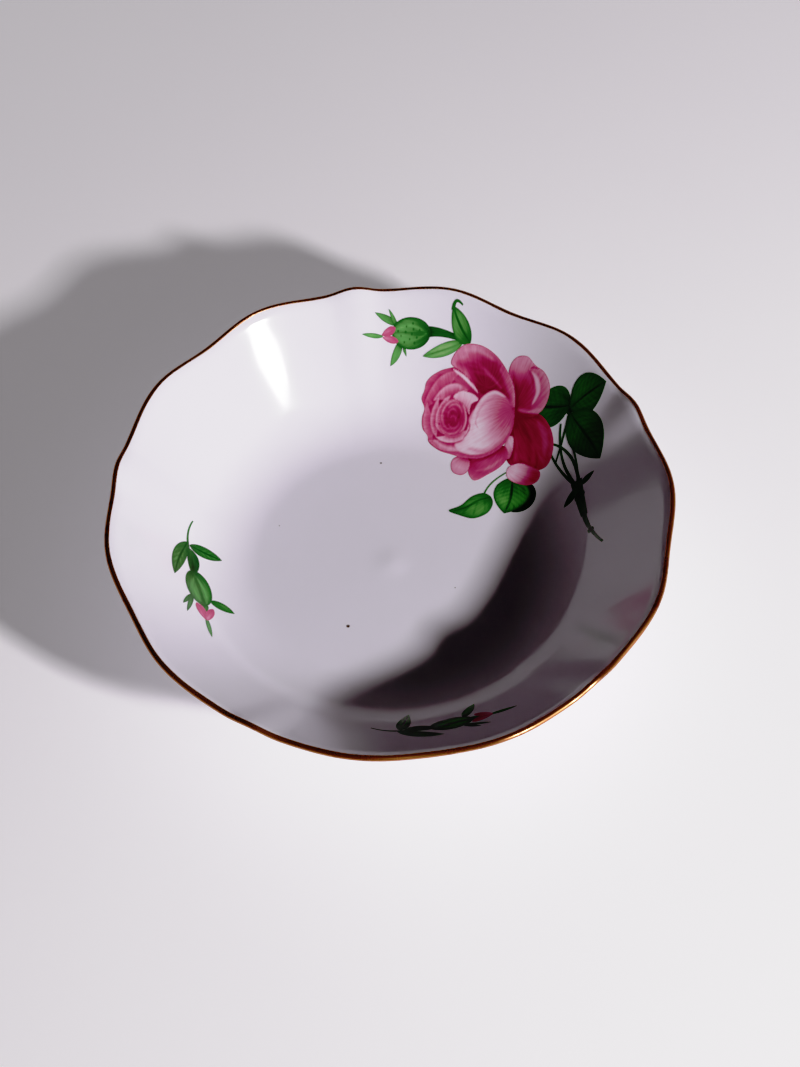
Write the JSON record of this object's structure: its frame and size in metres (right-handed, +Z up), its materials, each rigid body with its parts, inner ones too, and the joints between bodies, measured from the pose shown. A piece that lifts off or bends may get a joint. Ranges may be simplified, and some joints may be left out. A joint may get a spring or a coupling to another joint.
{
  "type": "porcelain trinket dish",
  "caption": "Round open trinket dish in white porcelain, with a foot ring, a lobed lip edged in gilt, and roses and rosebuds in enamel on the inside wall.",
  "frame": {"origin": "on the table, where the dish's vertical axis meets the plane of the foot ring's ground face", "axes": "+Z up along the axis of the dish; +X towards the right of the rose spray's side, with the large rose between +X and +Y; -Y is the front, where the dish is usually seen from"},
  "size_m": [0.1505, 0.1501, 0.0374],
  "materials": {
    "glazed_porcelain": "glossy clear glaze over white porcelain",
    "gilt": "burnished gold line",
    "rose_enamel": "glossy rose enamel, shaded from pale pink to crimson",
    "green_enamel": "glossy leaf-green enamel with dark veins"
  },
  "bodies": {
    "root": {"dish_body": "glazed_porcelain", "gilt_rim": "gilt", "rose_bloom": "rose_enamel", "rose_branch": "green_enamel", "rose_round_leaf": "green_enamel", "rose_long_leaf": "green_enamel", "top_bud_green": "green_enamel", "top_bud_petals": "rose_enamel", "top_bud_tip": "green_enamel", "left_sprig_green": "green_enamel", "left_sprig_petals": "rose_enamel", "left_sprig_tip": "green_enamel", "front_sprig_green": "green_enamel", "front_sprig_petals": "rose_enamel", "front_sprig_tip": "green_enamel"}
  },
  "joints": []
}
